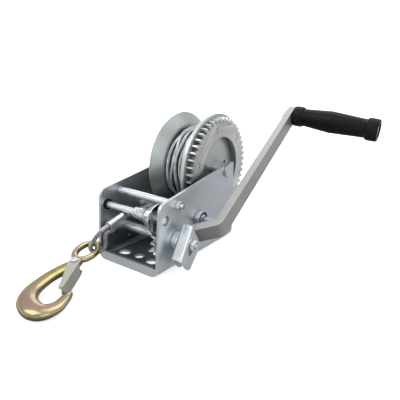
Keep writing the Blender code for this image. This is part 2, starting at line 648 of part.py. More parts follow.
# ---------------------------------------------------------------- pawl
def make_pawl():
    inner = FRAME_HALF - SHEET
    finish(bar("pawl_rod", -FRAME_HALF - 2.6, FRAME_HALF - 1.8, PAWL_ROD, PAWL, 24), BRIGHT)
    finish(ring("pawl_rod_bush_left", -FRAME_HALF - 0.8, -inner + 1.2, PAWL_ROD + GAP, 6.0, PAWL, 24), BLACK)
    finish(ring("pawl_rod_bush_right", inner - 1.2, FRAME_HALF - 1.5, PAWL_ROD + GAP, 4.9, PAWL, 24), BRIGHT)
    toward = Vector((DRIVE[0] - PAWL[0], DRIVE[1] - PAWL[1])).normalized()
    across = Vector((-toward.y, toward.x))
    # Each claw is drawn as it sits in the ratchet's gap, in (radius, degrees) about the drive shaft,
    # then swung back to the pawl's neutral position.
    reach = math.dist(PAWL, DRIVE)
    side = [(6.6, 0.0), (6.9, 3.0)]
    for radius, angle in ((24.8, 21.5), (23.4, 23.0), (20.6, 24.9), (20.6, 29.1), (23.4, 31.0), (26.4, 30.6)):
        a = reach - radius * math.cos(math.radians(angle))
        c = radius * math.sin(math.radians(angle))
        swung = Matrix.Rotation(math.radians(PAWL_SWING), 2) @ Vector((a, c))
        side.append(tuple(swung))
    side.append((-2.0, 8.2))
    tail = [(-6.5, -9.0), (-13.6, -8.6), (-15.2, -5.0), (-13.5, -2.0), (-7.4, -0.8), (-6.6, 4.0)]
    loop = [(a, -c) for a, c in side] + tail + side[:0:-1]
    outline = [(PAWL[0] + a * toward.x + c * across.x, PAWL[1] + a * toward.y + c * across.y) for a, c in loop]
    plate = prism("pawl", [outline], *RATCHET_SPAN)
    low, high = RATCHET_SPAN
    # An open trumpet round the plate, cut away wherever the ratchet passes during the swing.
    flare = turned("flare", [(8.0, 0), (8.0, 6.2), (13.0, 6.3), (16.5, 7.4), (20.0, 9.4), (25.0, 12.6),
                             (high - 0.6, 15.4), (high, 15.2), (high, 14.5), (25.0, 11.2), (20.5, 8.2),
                             (low + 1.0, 7.4), (low + 1.0, 0)], PAWL, 32)
    passes = []
    for turn in (-PAWL_SWING, 0, PAWL_SWING):
        swung = Matrix.Rotation(math.radians(turn), 2) @ Vector((DRIVE[0] - PAWL[0], DRIVE[1] - PAWL[1]))
        passes.append(prism("pass", [circle((PAWL[0] + swung.x, PAWL[1] + swung.y), RATCHET_TIP + 0.6, 64)],
                            low - 0.6, high + 1))
    flare = combine(flare, passes, "DIFFERENCE")
    shank = combine(plate, [flare], "UNION")
    finish(combine(shank, [bar("bore", 0, 50, PAWL_ROD + GAP, PAWL, 24)], "DIFFERENCE"), BRIGHT)
    turns = 3
    coil = []
    for i in range(turns * 14 + 1):
        angle = TAU * i / 14
        coil.append((1.4 + 5.4 * i / (turns * 14), PAWL[0] + 5.0 * math.cos(angle), PAWL[1] + 5.0 * math.sin(angle)))
    finish(tube("pawl_spring", coil, 0.8, 1), BRIGHT)


# ---------------------------------------------------------------- rope
LEAD_START = (116.0, 45.7)  # (y, z) where the rope leaves the pack's underside
FERRULE_BACK = Vector((ROPE_X, 8.0, 49.4))
FERRULE_FRONT = Vector((ROPE_X, -12.0, 44.0))
HOOK_SIDE = Vector((0.9467, 0.3221, 0)).normalized()
HOOK_UP = HOOK_AXIS.cross(HOOK_SIDE).normalized()
HOOK_SIDE = HOOK_UP.cross(HOOK_AXIS).normalized()
EYE_CENTER = -4.0
EYE_LONG = 14.5
EYE_WIDE = 9.8
EYE_WIRE = 3.3


def hook_point(along, side, up=0.0):
    return HOOK_EYE + HOOK_AXIS * along + HOOK_SIDE * side + HOOK_UP * up


def eye_point(angle):
    return hook_point(EYE_CENTER - EYE_LONG * math.cos(angle), EYE_WIDE * math.sin(angle))


def bend(first, leaving, last, arriving, count=6):
    """A smooth curve from first to last with the given end tangents, without its last point."""
    made = []
    for i in range(count):
        t = i / count
        made.append(first * (1 - t)**3 + (first + leaving) * 3 * t * (1 - t)**2
                    + (last - arriving) * 3 * t**2 * (1 - t) + last * t**3)
    return made


def loop_points():
    """The rope's eye: out of the ferrule, once through the hook's eye and back."""
    crossing = math.radians(35)
    wire = eye_point(crossing)
    along = (eye_point(crossing + 0.05) - eye_point(crossing - 0.05)).normalized()
    reach = FERRULE_FRONT - wire
    up = (reach - along * reach.dot(along)).normalized()
    out = along.cross(up).normalized()
    if out.y > 0:
        out = -out
    radius = EYE_WIRE + ROPE_RADIUS + 1.9
    angles = [math.radians(15 - 30 * i) for i in range(8)]
    turn = [wire + (out * math.cos(a) + up * math.sin(a)) * radius for a in angles]
    heading = [out * math.sin(a) - up * math.cos(a) for a in angles]
    forward = (FERRULE_FRONT - FERRULE_BACK).normalized()
    side = forward.cross(Vector((1, 0, 0))).normalized()
    side = -side if side.z < 0 else side
    start = FERRULE_FRONT + forward * GAP
    one, two = start + side * 2.7, start - side * 2.7
    return ([one] + bend(one + forward * 2.5, forward * 9, turn[0], heading[0] * 8) + turn
            + bend(turn[-1], heading[-1] * 7, two + forward * 2.5, -forward * 4)[1:] + [two + forward * 2.5, two])


def make_rope():
    forward = (FERRULE_FRONT - FERRULE_BACK).normalized()
    start = Vector((ROPE_X, *LEAD_START))
    bend = FERRULE_BACK - forward * 7
    over = [Vector((ROPE_X, *place)) for place in
            arc(INTERMEDIATE, SHAFT_RADIUS + ROPE_RADIUS + GAP, 80, 94, 2)]
    lead = [start.lerp(over[0], i / 4) for i in range(4)] + over
    lead += [over[-1].lerp(bend, i / 5) for i in range(1, 6)] + [FERRULE_BACK - forward * GAP]
    finish(tube("rope_lead", smooth_path(lead, 3), ROPE_RADIUS), ROPE)
    finish(tube("rope_eye", smooth_path(loop_points(), 4), ROPE_RADIUS), ROPE)
    side = forward.cross(Vector((1, 0, 0))).normalized()
    sleeve = prism("ferrule", [stadium((-2.7, 0), (2.7, 0), 3.7, 8)], 0, (FERRULE_FRONT - FERRULE_BACK).length,
                   UPRIGHT)
    x_axis = side
    y_axis = forward.cross(x_axis).normalized()
    sleeve.matrix_world = Matrix.Translation((FERRULE_BACK + FERRULE_FRONT) / 2 * MM) @ Matrix(
        (x_axis, y_axis, forward)).transposed().to_4x4()
    finish(sleeve, BRIGHT)


# ---------------------------------------------------------------- hook
HOOK_LINE = [  # (along, side, half width) of the bent body, neck to tip
    (13.0, 1.5, 5.4), (20.0, -0.4, 6.4), (29.0, -5.2, 6.4), (40.0, -9.8, 6.4), (52.0, -12.4, 6.6),
    (63.0, -12.6, 7.4), (73.5, -8.0, 8.2), (80.2, 1.6, 8.4), (80.6, 11.0, 7.6), (74.0, 17.6, 6.1),
    (65.0, 19.2, 5.0), (57.5, 18.6, 4.0), (54.6, 18.0, 2.6),
]
HOOK_FLATNESS = 0.64  # the forged body's thickness over its width
LATCH_PIVOT = (21.0, 2.6)


def make_hook():
    line = smooth_path([(a, s, w) for a, s, w in HOOK_LINE], 3)
    body = tube("hook", [(p.x, p.y, 0) for p in line], 1.0, 3, [p.z for p in line])
    ring_points = [(EYE_CENTER - EYE_LONG * math.cos(TAU * i / 36), EYE_WIDE * math.sin(TAU * i / 36), 0)
                   for i in range(36)]
    eye = tube("eye", ring_points, EYE_WIRE, 3)
    eye.data.splines[0].use_cyclic_u = True
    eye.data.use_fill_caps = False
    flatten = Matrix.Diagonal((1, 1, HOOK_FLATNESS, 1))
    to_world = Matrix.Translation(HOOK_EYE * MM) @ Matrix((HOOK_AXIS, HOOK_SIDE, HOOK_UP)).transposed().to_4x4()
    body.matrix_world = to_world @ flatten
    eye.matrix_world = to_world
    pivot = prism("pivot_hole", [circle(LATCH_PIVOT, 2.2, 20)], -12, 12, UPRIGHT)
    pivot.matrix_world = to_world
    hook = combine(body, [eye], "UNION")
    hook = combine(hook, [pivot], "DIFFERENCE")
    finish(hook, YELLOW_ZINC, 60)

    cheek = rounded([(17.2, 0.5), (17.5, 7.5), (24, 9.3), (57.5, 14.6), (59.5, 11.5), (30, 0.8), (24, -1.4)],
                    [3, 2, 1, 1.5, 1.5, 2, 2.5], 3)
    block = prism("hook_latch", [cheek], -7.4, 7.4, UPRIGHT)
    block.matrix_world = to_world
    hollow = prism("hollow", [[(10, -9), (10, 20), (23.5, 20), (23.5, 7.9), (61, 13.8), (70, 9), (60, -12)]],
                   -6.1, 6.1, UPRIGHT)
    hollow.matrix_world = to_world
    hole = prism("hole", [circle(LATCH_PIVOT, 2.2, 20)], -12, 12, UPRIGHT)
    hole.matrix_world = to_world
    finish(combine(block, [hollow, hole], "DIFFERENCE"), YELLOW_ZINC)
    pin = turned("latch_rivet", [(-8.9, 0), (-8.9, 2.6), (-8.4, 3.4), (-7.7, 3.4), (-7.7, 1.9), (7.7, 1.9),
                                 (7.7, 3.4), (8.4, 3.4), (8.9, 2.6), (8.9, 0)], (0, 0), 20)
    pin.matrix_world = to_world @ Matrix.Translation((LATCH_PIVOT[0] * MM, LATCH_PIVOT[1] * MM, 0)) @ Matrix.Rotation(
        -math.pi / 2, 4, "Y")
    finish(pin, BRIGHT)


make_frame()
make_tie()
make_bushes()
make_drum()
make_ring_gear()
make_axle()
make_intermediate()
make_drive()
make_arm()
make_clip()
make_grip()
make_pawl()
make_rope()
make_hook()
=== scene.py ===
"""Looks of the boat trailer winch: finer meshes, plated-steel materials, wound wire rope and light.

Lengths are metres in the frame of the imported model; MM lets sizes be read in millimetres.
"""

import json
import math

import bmesh
import bpy
from mathutils import Matrix, Vector, noise


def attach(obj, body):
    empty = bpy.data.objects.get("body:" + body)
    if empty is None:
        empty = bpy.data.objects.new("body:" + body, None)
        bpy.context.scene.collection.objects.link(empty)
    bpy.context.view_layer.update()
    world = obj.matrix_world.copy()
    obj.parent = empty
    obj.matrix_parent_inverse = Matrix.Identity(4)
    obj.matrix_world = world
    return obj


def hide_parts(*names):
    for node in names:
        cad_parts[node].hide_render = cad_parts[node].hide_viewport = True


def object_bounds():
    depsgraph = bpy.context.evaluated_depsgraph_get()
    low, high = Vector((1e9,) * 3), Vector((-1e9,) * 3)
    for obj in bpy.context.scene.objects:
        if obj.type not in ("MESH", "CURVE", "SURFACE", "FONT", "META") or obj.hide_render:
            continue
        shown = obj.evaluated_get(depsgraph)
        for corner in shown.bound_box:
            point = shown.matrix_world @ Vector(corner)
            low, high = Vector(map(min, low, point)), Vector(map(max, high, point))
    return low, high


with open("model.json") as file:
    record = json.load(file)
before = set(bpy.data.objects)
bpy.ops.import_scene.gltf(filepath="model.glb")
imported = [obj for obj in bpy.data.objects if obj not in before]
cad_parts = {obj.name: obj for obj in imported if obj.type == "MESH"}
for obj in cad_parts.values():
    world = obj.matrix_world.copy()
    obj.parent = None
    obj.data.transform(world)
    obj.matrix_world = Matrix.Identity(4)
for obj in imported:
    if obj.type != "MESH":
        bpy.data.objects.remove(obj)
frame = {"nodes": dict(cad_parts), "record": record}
CAD_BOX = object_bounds()
BODY_OF = {node: body for body, nodes in frame["record"]["behaviour"]["bodies"].items() for node in nodes}
MM = 0.001
TAU = 2 * math.pi


# ---------------------------------------------------------------- camera, floor and light
CAMERA_PLACE = (0.25685, -0.26897, 0.18963)
CAMERA_AZIMUTH = 28.242  # degrees round from -Y towards +X
CAMERA_ELEVATION = 14.414
CAMERA_ROLL = 4.815
FLOOR_Z = min(CAD_BOX[0][2], 0.0)
FLOOR_FLAT = 1.6  # radius of the flat part, in metres
FLOOR_CURVE = 0.9
FLOOR_TOP = 2.6


def add_camera():
    data = bpy.data.cameras.new("camera")
    data.lens = 34.32
    data.sensor_width = 36.0
    data.shift_x = -0.0744
    data.shift_y = -0.0382
    data.clip_start = 0.01
    camera = bpy.data.objects.new("camera", data)
    turn, rise, roll = (Matrix.Rotation(math.radians(angle), 4, axis) for angle, axis in
                        ((CAMERA_AZIMUTH, "Z"), (90 - CAMERA_ELEVATION, "X"), (CAMERA_ROLL, "Z")))
    camera.matrix_world = Matrix.Translation(CAMERA_PLACE) @ turn @ rise @ roll
    bpy.context.scene.collection.objects.link(camera)
    bpy.context.scene.camera = camera


def add_floor():
    """A pale floor that curves up into a wall all round, far outside the object."""
    profile = [(FLOOR_FLAT - 0.1, 0.0), (FLOOR_FLAT, 0.0)]
    profile += [(FLOOR_FLAT + FLOOR_CURVE * math.sin(a), FLOOR_CURVE * (1 - math.cos(a))) for a in
                (math.pi / 2 * i / 12 for i in range(1, 13))]
    profile.append((FLOOR_FLAT + FLOOR_CURVE, FLOOR_TOP))
    shape = bmesh.new()
    steps = 96
    rings = [[shape.verts.new((r * math.cos(TAU * i / steps), r * math.sin(TAU * i / steps), z))
              for i in range(steps)] for r, z in profile]
    shape.faces.new(rings[0])
    for lower, upper in zip(rings, rings[1:]):
        for i in range(steps):
            shape.faces.new((lower[i], lower[(i + 1) % steps], upper[(i + 1) % steps], upper[i]))
    mesh = bpy.data.meshes.new("floor")
    shape.to_mesh(mesh)
    shape.free()
    for face in mesh.polygons:
        face.use_smooth = face.index > 0
    floor = bpy.data.objects.new("floor", mesh)
    floor.location.z = FLOOR_Z
    floor.visible_glossy = False  # metal reflects the studio's dark lower half, not the lit floor
    bpy.context.scene.collection.objects.link(floor)
    paint = bpy.data.materials.new("floor_paint")
    paint.use_nodes = True
    shader = paint.node_tree.nodes["Principled BSDF"]
    shader.inputs["Base Color"].default_value = (0.93, 0.93, 0.935, 1)
    shader.inputs["Roughness"].default_value = 0.8
    shader.inputs["Specular IOR Level"].default_value = 0.1
    shader.inputs["Emission Color"].default_value = (1, 1, 1, 1)
    shader.inputs["Emission Strength"].default_value = 0.4
    mesh.materials.append(paint)


def add_light(name, place, target, size, power):
    data = bpy.data.lights.new(name, "AREA")
    data.shape = "RECTANGLE"
    data.size, data.size_y = size
    data.energy = power
    lamp = bpy.data.objects.new(name, data)
    place, target = Vector(place), Vector(target)
    aim = (target - place).to_track_quat("-Z", "Y").to_matrix().to_4x4()
    lamp.matrix_world = Matrix.Translation(place) @ aim
    bpy.context.scene.collection.objects.link(lamp)


def add_light_and_world():
    middle = (0.02, 0.07, 0.06)
    add_light("key", (-0.5, -0.9, 1.3), middle, (1.1, 1.1), 7)
    add_light("fill", (1.2, -0.9, 0.75), middle, (1.2, 1.0), 3.2)
    add_light("top", (0.1, 0.5, 1.6), middle, (1.4, 1.2), 7)
    add_light("back", (-0.9, 1.2, 0.9), middle, (1.0, 0.8), 3)
    world = bpy.data.worlds.new("studio")
    world.use_nodes = True
    tree = world.node_tree
    place = tree.nodes.new("ShaderNodeTexCoord").outputs["Generated"]
    split = tree.nodes.new("ShaderNodeSeparateXYZ")
    tree.links.new(place, split.inputs[0])
    height = tree.nodes.new("ShaderNodeMapRange")
    tree.links.new(split.outputs["Z"], height.inputs["Value"])
    height.inputs["From Min"].default_value = -1.0
    ramp = tree.nodes.new("ShaderNodeValToRGB")
    tree.links.new(height.outputs["Result"], ramp.inputs["Fac"])
    stops = ((0.0, 0.16), (0.40, 0.40), (0.50, 0.80), (0.72, 0.50), (1.0, 0.8))
    for _ in stops[2:]:
        ramp.color_ramp.elements.new(0.5)
    for element, (position, value) in zip(ramp.color_ramp.elements, stops):
        element.position = position
        element.color = (0.97 * value, 0.985 * value, value, 1)
    tree.links.new(ramp.outputs["Color"], tree.nodes["Background"].inputs["Color"])
    tree.nodes["Background"].inputs["Strength"].default_value = 1.25
    bpy.context.scene.world = world
    bpy.context.scene.view_settings.view_transform = "Standard"


# ---------------------------------------------------------------- materials
class Paint:
    """Builds a node material step by step around one Principled BSDF."""

    def __init__(self, name):
        self.material = bpy.data.materials.new(name)
        self.material.use_nodes = True
        self.tree = self.material.node_tree
        self.shader = self.tree.nodes["Principled BSDF"]
        self.place = self.node("ShaderNodeTexCoord").outputs["Object"]

    def node(self, kind, **settings):
        made = self.tree.nodes.new(kind)
        for key, value in settings.items():
            setattr(made, key, value)
        return made

    def feed(self, socket, value):
        if isinstance(value, bpy.types.NodeSocket):
            self.tree.links.new(value, socket)
        else:
            socket.default_value = value

    def stretched(self, scale):
        mapping = self.node("ShaderNodeMapping")
        self.feed(mapping.inputs["Vector"], self.place)
        mapping.inputs["Scale"].default_value = scale
        return mapping.outputs["Vector"]

    def noise(self, scale, detail=3.0, stretch=None, roughness=0.5):
        made = self.node("ShaderNodeTexNoise")
        self.feed(made.inputs["Vector"], self.stretched(stretch) if stretch else self.place)
        made.inputs["Scale"].default_value = scale
        made.inputs["Detail"].default_value = detail
        made.inputs["Roughness"].default_value = roughness
        return made.outputs["Fac"]

    def span(self, value, low, high, new_low, new_high):
        made = self.node("ShaderNodeMapRange")
        self.feed(made.inputs["Value"], value)
        for key, number in (("From Min", low), ("From Max", high), ("To Min", new_low), ("To Max", new_high)):
            made.inputs[key].default_value = number
        return made.outputs["Result"]

    def ramp(self, value, *stops):
        made = self.node("ShaderNodeValToRGB")
        self.feed(made.inputs["Fac"], value)
        elements = made.color_ramp.elements
        while len(elements) < len(stops):
            elements.new(0.5)
        for element, (place, color) in zip(elements, stops):
            element.position = place
            element.color = (*color, 1)
        return made.outputs["Color"]

    def mix(self, factor, first, second):
        made = self.node("ShaderNodeMix", data_type="RGBA")
        self.feed(made.inputs[0], factor)
        for socket, value in ((made.inputs[6], first), (made.inputs[7], second)):
            self.feed(socket, (*value, 1) if isinstance(value, tuple) else value)
        return made.outputs[2]

    def math(self, operation, first, second):
        made = self.node("ShaderNodeMath", operation=operation)
        self.feed(made.inputs[0], first)
        self.feed(made.inputs[1], second)
        return made.outputs[0]

    def bump(self, height, strength, distance, below=None):
        made = self.node("ShaderNodeBump")
        self.feed(made.inputs["Height"], height)
        made.inputs["Strength"].default_value = strength
        made.inputs["Distance"].default_value = distance
        if below:
            self.feed(made.inputs["Normal"], below)
        return made.outputs["Normal"]

    def edges(self):
        """Nearly 0 on flat faces and 1 along outer edges, where plating wears bright."""
        point = self.node("ShaderNodeNewGeometry").outputs["Pointiness"]
        return self.span(point, 0.505, 0.56, 0, 1)

    def shaded(self, color, shade_depth, reach=0.06, alone=False):
        """Paints shade into a colour: darkens it where the surface is closed in by others, or by its own
        piece alone.
        """
        shade = self.node("ShaderNodeAmbientOcclusion", samples=6, only_local=alone)
        shade.inputs["Distance"].default_value = reach
        closed = self.span(shade.outputs["AO"], *((0.30, 0.92) if alone else (0.15, 0.72)), shade_depth, 0.0)
        return self.mix(closed, color, (0.015, 0.016, 0.018))

    def finish(self, color, roughness, metallic, normal=None, **others):
        self.feed(self.shader.inputs["Base Color"], color)
        self.feed(self.shader.inputs["Roughness"], roughness)
        self.feed(self.shader.inputs["Metallic"], metallic)
        if normal:
            self.feed(self.shader.inputs["Normal"], normal)
        for key, value in others.items():
            self.feed(self.shader.inputs[key.replace("_", " ")], value)
        return self.material


def plated_steel(name, dark, light, roughness, metallic=0.9, grain=0.1, stretch=(1.0, 1.0, 1.0), wear=0.5,
                 shade_depth=0.6, alone=False):
    """Zinc-plated steel: cloudy tint, rolled grain, uneven gloss, brighter worn edges and painted shade where
    the surface is closed in.
    """
    paint = Paint(name)
    cloud = paint.noise(28, 4, roughness=0.6)
    speck = paint.noise(420, 2)
    lines = paint.noise(90, 5, stretch, 0.7)
    tint = paint.ramp(cloud, (0.3, dark), (0.72, light))
    tint = paint.mix(paint.span(lines, 0.3, 0.7, 0.0, 0.35), tint, tuple(0.78 * c for c in dark))
    tint = paint.mix(paint.span(speck, 0.62, 0.8, 0.0, 0.35), tint, light)
    tint = paint.mix(paint.math("MULTIPLY", paint.edges(), wear), tint, (0.86, 0.87, 0.88))
    gloss = paint.math("ADD", paint.span(cloud, 0.3, 0.7, roughness - 0.06, roughness + 0.06),
                       paint.span(lines, 0.3, 0.7, -0.05, 0.05))
    normal = paint.bump(lines, grain, 0.0002)
    normal = paint.bump(speck, grain * 0.6, 0.0001, normal)
    # painted shade: the tint darkens where the surface is closed in; alone counts only the piece's own walls
    tint = paint.shaded(tint, shade_depth, 0.11, True) if alone else paint.shaded(tint, shade_depth)
    return paint.finish(tint, gloss, metallic, normal)


def yellow_plating():
    """Yellow passivation over zinc: gold that drifts to green, with rose clouds on the face that lies up, a
    painted sheen of the passivation.
    """
    paint = Paint("yellow_passivated_zinc")
    drift = paint.noise(34, 3, roughness=0.6)
    patch = paint.noise(75, 2)
    fine = paint.noise(600, 2)
    gold = paint.ramp(drift, (0.25, (0.36, 0.26, 0.10)), (0.42, (0.47, 0.41, 0.18)),
                      (0.55, (0.46, 0.35, 0.22)), (0.68, (0.30, 0.31, 0.13)), (0.80, (0.52, 0.46, 0.24)))
    # painted sheen: rose clouds of the passivation's iridescence, laid on faces that point up
    upward = paint.node("ShaderNodeSeparateXYZ")
    paint.feed(upward.inputs[0], paint.node("ShaderNodeTexCoord").outputs["Normal"])
    rose = paint.math("MULTIPLY", paint.span(upward.outputs["Z"], 0.8, 1.0, 0.0, 0.7),
                      paint.span(drift, 0.42, 0.56, 0.0, 1.0))
    tint = paint.mix(rose, gold, (0.52, 0.33, 0.29))
    tint = paint.mix(paint.span(patch, 0.5, 0.7, 0.0, 0.3), tint, (0.36, 0.40, 0.22))
    tint = paint.mix(paint.math("MULTIPLY", paint.edges(), 0.5), tint, (0.88, 0.84, 0.68))
    gloss = paint.span(patch, 0.3, 0.7, 0.15, 0.27)
    # painted shade where the surface is closed in
    tint = paint.shaded(tint, 0.6, 0.02)
    return paint.finish(tint, gloss, 1.0, paint.bump(fine, 0.12, 0.0002))


def latch_plating():
    """The latch's thinner passivation reads as silver with lilac and green."""
    paint = Paint("latch_zinc")
    drift = paint.noise(55, 2)
    tint = paint.ramp(drift, (0.32, (0.46, 0.41, 0.40)), (0.5, (0.48, 0.46, 0.33)),
                      (0.66, (0.36, 0.38, 0.24)))
    tint = paint.mix(paint.math("MULTIPLY", paint.edges(), 0.5), tint, (0.82, 0.84, 0.78))
    return paint.finish(tint, paint.span(drift, 0.3, 0.7, 0.26, 0.36), 1.0,
                        paint.bump(paint.noise(500, 2), 0.1, 0.0002))


def rope_steel():
    """Galvanised wire: each strand's wires run slanting round it, from the mesh's own UV map; painted shade
    darkens the troughs between wires, the hollows between strands and closed-in places.
    """
    paint = Paint("galvanised_wire")
    uv = paint.node("ShaderNodeTexCoord").outputs["UV"]
    wires = paint.node("ShaderNodeTexWave", wave_type="BANDS", bands_direction="DIAGONAL", wave_profile="SIN")
    paint.feed(wires.inputs["Vector"], uv)
    wires.inputs["Scale"].default_value = 1.0
    wires.inputs["Distortion"].default_value = 0.4
    grime = paint.noise(160, 3)
    # painted shade in the hollows between strands, where the surface curves inward
    hollow_shade = paint.span(paint.node("ShaderNodeNewGeometry").outputs["Pointiness"], 0.42, 0.5, 1, 0)
    tint = paint.ramp(grime, (0.3, (0.52, 0.52, 0.54)), (0.7, (0.86, 0.87, 0.90)))
    # the dark bands draw the wires' pattern and paint the shade in the troughs between them
    tint = paint.mix(paint.span(wires.outputs["Fac"], 0.0, 0.55, 0.85, 0.0), tint, (0.05, 0.05, 0.05))
    tint = paint.mix(paint.math("MULTIPLY", hollow_shade, 0.9), tint, (0.03, 0.03, 0.03))
    # painted shade where the surface is closed in
    tint = paint.shaded(tint, 0.95, 0.009)
    return paint.finish(tint, 0.36, 0.85, paint.bump(wires.outputs["Fac"], 0.5, 0.0003))


# black moulded plastic, and also the black used as painted shade under the rope turns
def black_moulding_and_shade(name, roughness, grain):
    paint = Paint(name)
    fine = paint.noise(900, 2)
    smear = paint.noise(40, 3)
    tint = paint.ramp(smear, (0.35, (0.004, 0.0035, 0.0035)), (0.7, (0.007, 0.006, 0.006)))
    gloss = paint.span(smear, 0.3, 0.7, roughness - 0.04, roughness + 0.06)
    return paint.finish(tint, gloss, 0.0, paint.bump(fine, grain, 0.0002), Specular_IOR_Level=0.1,
                        Coat_Weight=0.05, Coat_Roughness=0.12)


# ---------------------------------------------------------------- mesh helpers
FLAT_WITHIN = math.radians(0.3)
EDGE_ANGLE = math.radians(28)


def add_piece(name, mesh, material, body, replaced=()):
    mesh.materials.clear()
    mesh.materials.append(material)
    piece = bpy.data.objects.new(name, mesh)
    bpy.context.scene.collection.objects.link(piece)
    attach(piece, body)
    if replaced:
        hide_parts(*replaced)
    return piece


def from_shape(name, shape, angle):
    """Turns a bmesh into a smooth-shaded mesh, sharp where faces meet at more than angle degrees."""
    mesh = bpy.data.meshes.new(name)
    bmesh.ops.recalc_face_normals(shape, faces=shape.faces)
    shape.to_mesh(mesh)
    shape.free()
    mesh.shade_smooth()
    mesh.set_sharp_from_angle(angle=math.radians(angle))
    return mesh


def rounded_copy(node, material, width):
    """Stands for a CAD node whose shape is right, with its edges rounded by width millimetres."""
    shape = bmesh.new()
    shape.from_mesh(frame["nodes"][node].data)
    bmesh.ops.remove_doubles(shape, verts=shape.verts, dist=1e-6)
    bmesh.ops.dissolve_limit(shape, angle_limit=FLAT_WITHIN, verts=shape.verts, edges=shape.edges)
    sharp = [e for e in shape.edges if len(e.link_faces) == 2 and e.calc_face_angle(0) > EDGE_ANGLE]
    if width:
        bmesh.ops.bevel(shape, geom=sharp, offset=width * MM, offset_type="WIDTH", segments=2,
                        profile=0.5, affect="EDGES", clamp_overlap=True)
    name = node + "_fine"
    piece = add_piece(name, from_shape(name, shape, 50), material, BODY_OF[node], [node])
    flatten = piece.modifiers.new("flat_faces_shade_flat", "WEIGHTED_NORMAL")
    flatten.keep_sharp = True
    flatten.weight = 90
    return piece


# ---------------------------------------------------------------- swept and turned shapes
def smooth_path(points, step):
    """Points about step millimetres apart on a Catmull-Rom curve through the given ones."""
    nodes = [Vector(p) for p in points]
    nodes = [2 * nodes[0] - nodes[1]] + nodes + [2 * nodes[-1] - nodes[-2]]
    made = []
    for i in range(1, len(nodes) - 2):
        a, b, c, d = nodes[i - 1:i + 3]
        count = max(2, round((c - b).length / step))
        for k in range(count):
            t = k / count
            made.append(0.5 * (2 * b + (c - a) * t + (2 * a - 5 * b + 4 * c - d) * t**2
                               + (3 * b - a - 3 * c + d) * t**3))
    made.append(nodes[-2])
    return made


def sweep(shape, path, section):
    """Sweeps section(distance) -> list of (a, b) offsets in mm along a path in mm, without twisting it."""
    layer = shape.loops.layers.uv.verify()
    final = len(path) - 1
    tangents = [(path[min(i + 1, final)] - path[max(i - 1, 0)]).normalized() for i in range(final + 1)]
    side = tangents[0].orthogonal().normalized()
    rings, travelled, marks = [], 0.0, []
    for i, (place, along) in enumerate(zip(path, tangents)):
        if i:
            travelled += (place - path[i - 1]).length
            turn = tangents[i - 1].rotation_difference(along)
            side = turn @ side
        side = (side - along * side.dot(along)).normalized()
        other = along.cross(side)
        rings.append([shape.verts.new((place + side * a + other * b) * MM) for a, b in section(travelled)])
        marks.append(travelled)
    count = len(rings[0])
    for i in range(len(rings) - 1):
        for k in range(count):
            face = shape.faces.new((rings[i][k], rings[i][(k + 1) % count],
                                    rings[i + 1][(k + 1) % count], rings[i + 1][k]))
            for loop, (u, v) in zip(face.loops, ((k, i), (k + 1, i), (k + 1, i + 1), (k, i + 1))):
                loop[layer].uv = (u / count * WIRES_ROUND, marks[v] * WIRES_PER_MM)
    shape.faces.new(rings[0][::-1])
    shape.faces.new(rings[-1])


ROPE_RADIUS = 2.4
ROPE_LAY = 17.0  # length in which a strand goes once round the rope
ROPE_STRANDS = 6
ROPE_SIDES = 24
WIRES_ROUND = 18.0
WIRES_PER_MM = 0.9


def strand_section(travelled, radius=ROPE_RADIUS):
    """The rope's outline: six strands round a core, turned by the rope's lay."""
    made = []
    for k in range(ROPE_SIDES):
        angle = TAU * k / ROPE_SIDES
        lobe = abs(math.cos(ROPE_STRANDS / 2 * (angle - TAU * travelled / ROPE_LAY)))
        r = radius * (0.72 + 0.28 * lobe ** 0.7)
        made.append((r * math.cos(angle), r * math.sin(angle)))
    return made


def rope_piece(name, path, body, replaced):
    shape = bmesh.new()
    sweep(shape, path, strand_section)
    return add_piece(name, from_shape(name, shape, 80), ROPE, body, replaced)


def join_rings(shape, rings, closed):
    """Joins rings of vertices with quads; closed joins the last ring to the first as well."""
    sides = len(rings[0])
    for one, two in zip(rings, rings[1:] + rings[:1] if closed else rings[1:]):
        for k in range(sides):
            shape.faces.new((one[k], one[(k + 1) % sides], two[(k + 1) % sides], two[k]))


def turned_mesh(name, profile, place, steps, angle):
    """Revolves a closed (x, radius) outline in mm about the X axis, then places it."""
    shape = bmesh.new()
    rings = [[shape.verts.new((x * MM, radius * math.cos(TAU * k / steps) * MM,
                               radius * math.sin(TAU * k / steps) * MM)) for k in range(steps)]
             for x, radius in profile]
    join_rings(shape, rings, closed=True)
    bmesh.ops.transform(shape, matrix=place, verts=shape.verts)
    return from_shape(name, shape, angle)


def soften(profile, radius, count=4):
    """Rounds each corner of an open outline by up to radius."""
    made = [profile[0]]
    for before, here, after in zip(profile, profile[1:], profile[2:]):
        here_v, back, ahead = Vector(here), Vector(before) - Vector(here), Vector(after) - Vector(here)
        cut = min(radius, back.length * 0.45, ahead.length * 0.45)
        first, last = here_v + back.normalized() * cut, here_v + ahead.normalized() * cut
        for k in range(count + 1):
            t = k / count
            made.append(tuple(first * (1 - t) ** 2 + here_v * 2 * t * (1 - t) + last * t**2))
    made.append(profile[-1])
    return made


